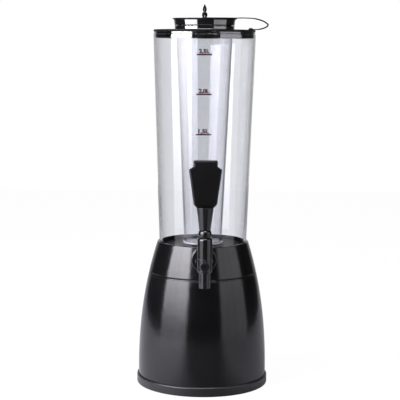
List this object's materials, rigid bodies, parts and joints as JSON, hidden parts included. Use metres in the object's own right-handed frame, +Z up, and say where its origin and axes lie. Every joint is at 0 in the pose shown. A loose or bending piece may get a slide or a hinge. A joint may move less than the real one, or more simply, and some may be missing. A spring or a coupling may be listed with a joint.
{
  "type": "drink tower dispenser",
  "caption": "Table-top drink tower with a bell base, collar with lever tap, clear tapered reservoir, and a lid with hanging ice tube and tethered cap.",
  "frame": {"origin": "centre of the flat face under the foot tray, where the tower stands", "axes": "+Z up along the tower's axis; -Y to the front, where the tap points; +X to the side where the tether loop hangs"},
  "size_m": [0.1842, 0.2247, 0.5313],
  "materials": {
    "gloss_black": "moulded plastic with a soft gloss",
    "satin_black": "satin moulded plastic",
    "rubber": "matt rubber",
    "steel": "plain stainless steel",
    "clear_acrylic": "clear polished acrylic",
    "tap_black": "glossy moulded plastic",
    "handle_black": "satin moulded plastic",
    "lid_black": "high-gloss moulded plastic",
    "silicone": "translucent silicone",
    "strap_black": "flexible moulded plastic"
  },
  "bodies": {
    "base": {"foot_tray": "satin_black", "foot_pads": "rubber", "tray_screws": "steel", "base_bell": "gloss_black"},
    "tower": {"collar": "gloss_black", "floor_pan": "gloss_black", "pan_screws": "steel", "tube_seal": "rubber", "reservoir_tube": "clear_acrylic", "shank": "tap_black", "outer_washer": "rubber", "inner_washer": "rubber", "shank_nut": "tap_black", "coupling_nut": "tap_black", "tap_body": "tap_black", "front_plug": "tap_black", "spout": "tap_black", "bonnet": "tap_black", "valve_spring": "steel"},
    "lever": {"lever_ball": "tap_black", "lift_pin": "steel", "handle_stem": "tap_black", "handle_paddle": "handle_black"},
    "valve": {"valve_stem": "steel", "seat_cup": "silicone"},
    "lid_set": {"lid": "lid_black", "lid_gasket": "silicone", "ice_tube": "clear_acrylic", "tether_strap": "strap_black", "strap_pin": "strap_black"},
    "cap_set": {"ice_cap": "lid_black", "cap_seal": "silicone", "cap_peg": "strap_black"}
  },
  "joints": [
    {"name": "tower_lift", "type": "slide", "parent": "base", "child": "tower", "axis": [0, 0, 1], "range_m": [0, 0.03]},
    {"name": "lid_lift", "type": "slide", "parent": "tower", "child": "lid_set", "axis": [0, 0, 1], "range_m": [0, 0.31]},
    {"name": "cap_lift", "type": "slide", "parent": "lid_set", "child": "cap_set", "axis": [0, 0, 1], "range_m": [0, 0.02], "deforming": ["tether_strap"]},
    {"name": "handle_tilt", "type": "hinge", "parent": "tower", "child": "lever", "pos_m": [0, -0.12005, 0.2282], "axis": [1, 0, 0], "range_deg": [0, 40], "stiffness_Nm_per_rad": 0.045, "springref_deg": -40.11},
    {"name": "valve_lift", "type": "slide", "parent": "tower", "child": "valve", "axis": [0, 0, 1], "range_m": [0, 0.0033], "deforming": ["valve_spring"]}
  ],
  "couplings": [
    {"joint": "valve_lift", "follows": "handle_tilt", "m_per_rad": 0.0046}
  ]
}
